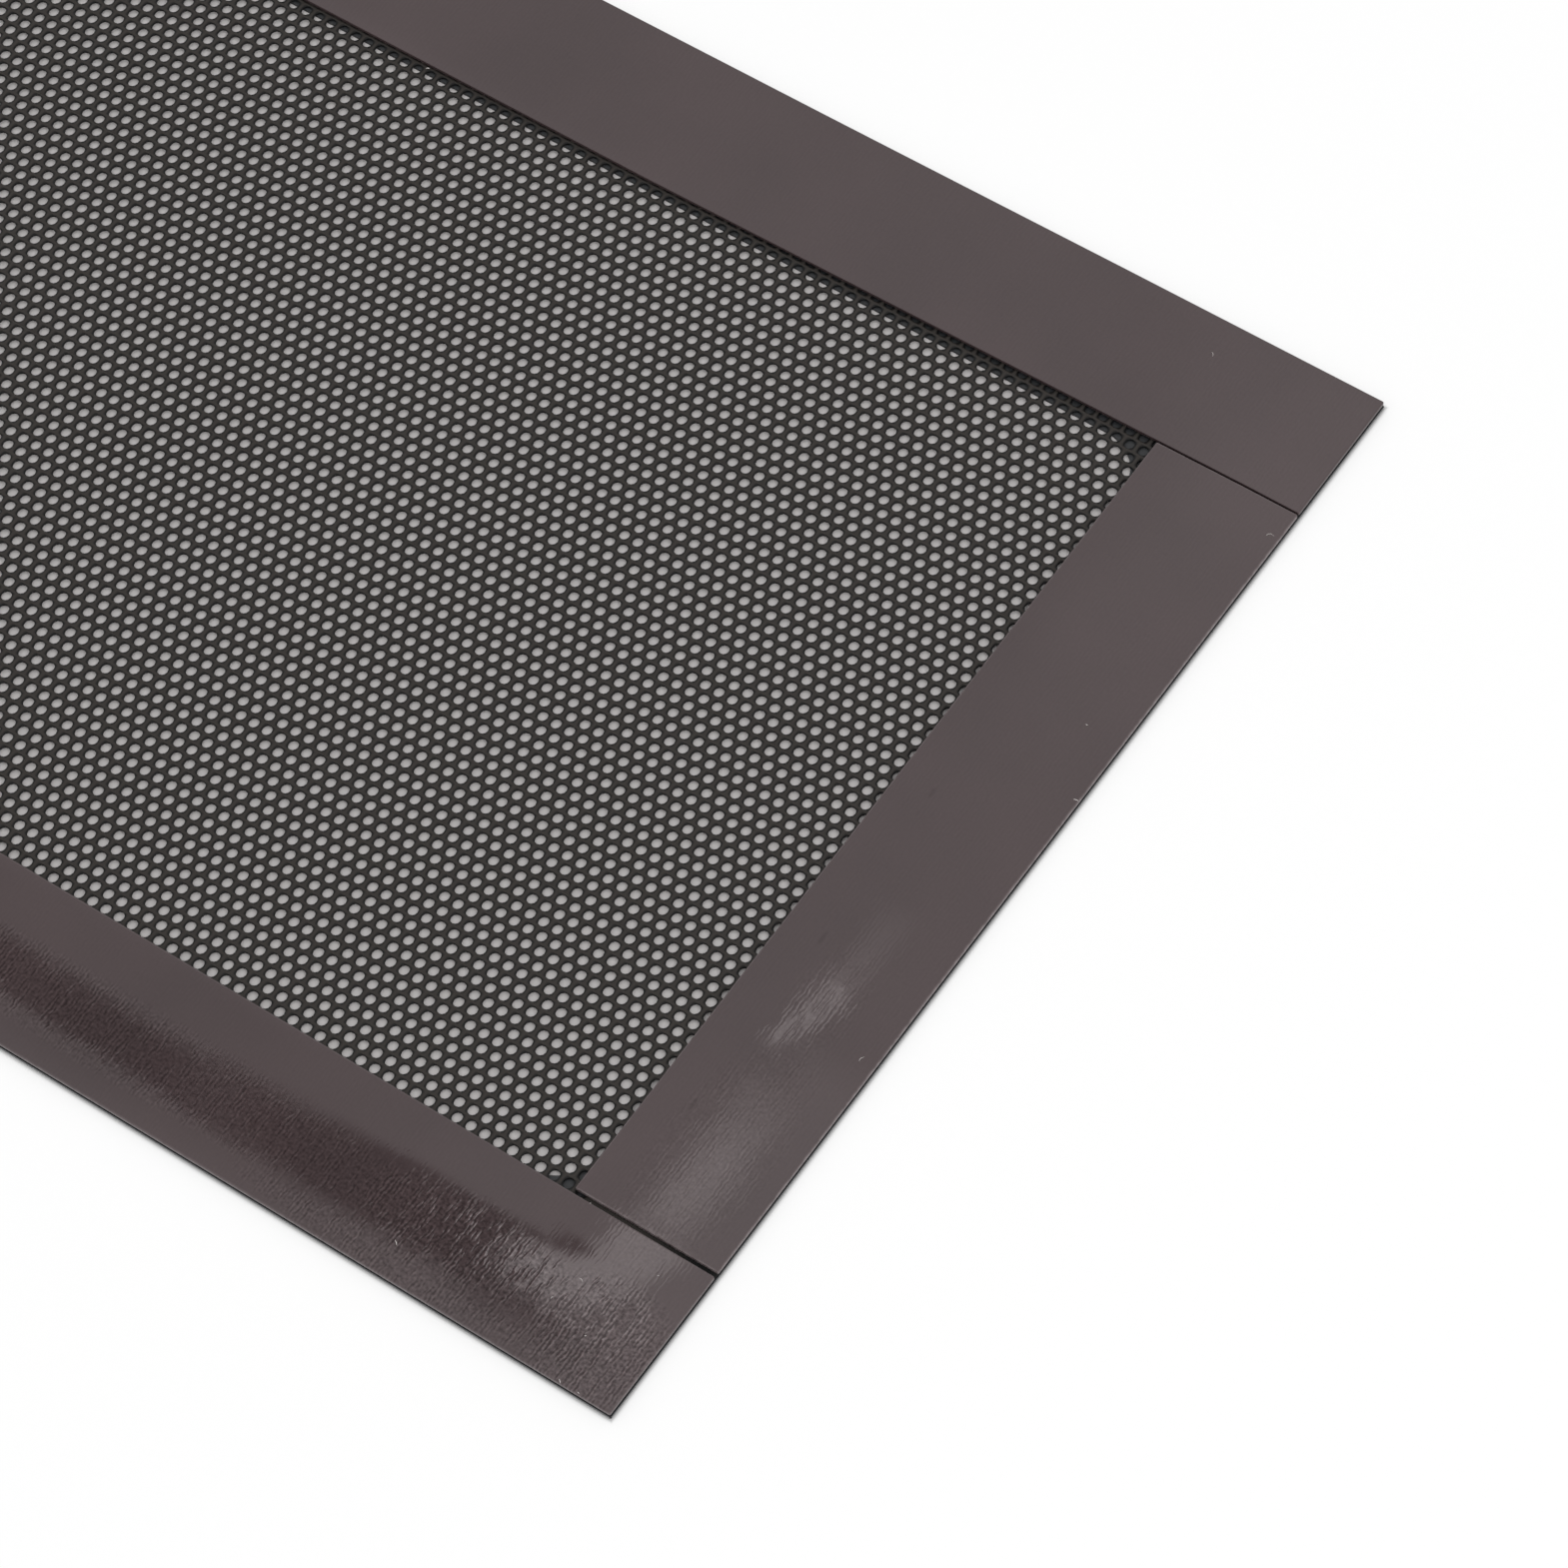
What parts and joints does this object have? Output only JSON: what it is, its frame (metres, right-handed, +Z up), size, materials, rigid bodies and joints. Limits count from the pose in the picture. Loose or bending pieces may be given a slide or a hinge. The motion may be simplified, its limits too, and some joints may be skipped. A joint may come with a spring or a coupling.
{
  "type": "magnetic fan dust filter",
  "caption": "Flat rectangular dust filter for computer fans: perforated film in a thin border, held by flexible rubber magnet strips that stick to a steel case.",
  "frame": {"origin": "middle of the underside of the border sheet, where the filter lies on a surface", "axes": "+X along the long sides, towards the short end that the picture shows; +Y across, towards the far long side; +Z up, out of the magnet face"},
  "size_m": [0.24, 0.12, 0.001],
  "materials": {
    "border_sheet": "satin black PVC sheet",
    "perforated_film": "satin black perforated PVC film",
    "adhesive_tape": "black acrylic adhesive tape",
    "rubber_magnet": "glossy dark brown rolled rubber magnet with fine cross striations"
  },
  "bodies": {
    "root": {"front_border": "border_sheet", "perforated_film": "perforated_film", "adhesive_tape_far": "adhesive_tape", "adhesive_tape_near": "adhesive_tape", "adhesive_tape_left": "adhesive_tape", "adhesive_tape_right": "adhesive_tape", "magnet_strip_far": "rubber_magnet", "magnet_strip_near": "rubber_magnet", "magnet_strip_left": "rubber_magnet", "magnet_strip_right": "rubber_magnet"}
  },
  "joints": []
}
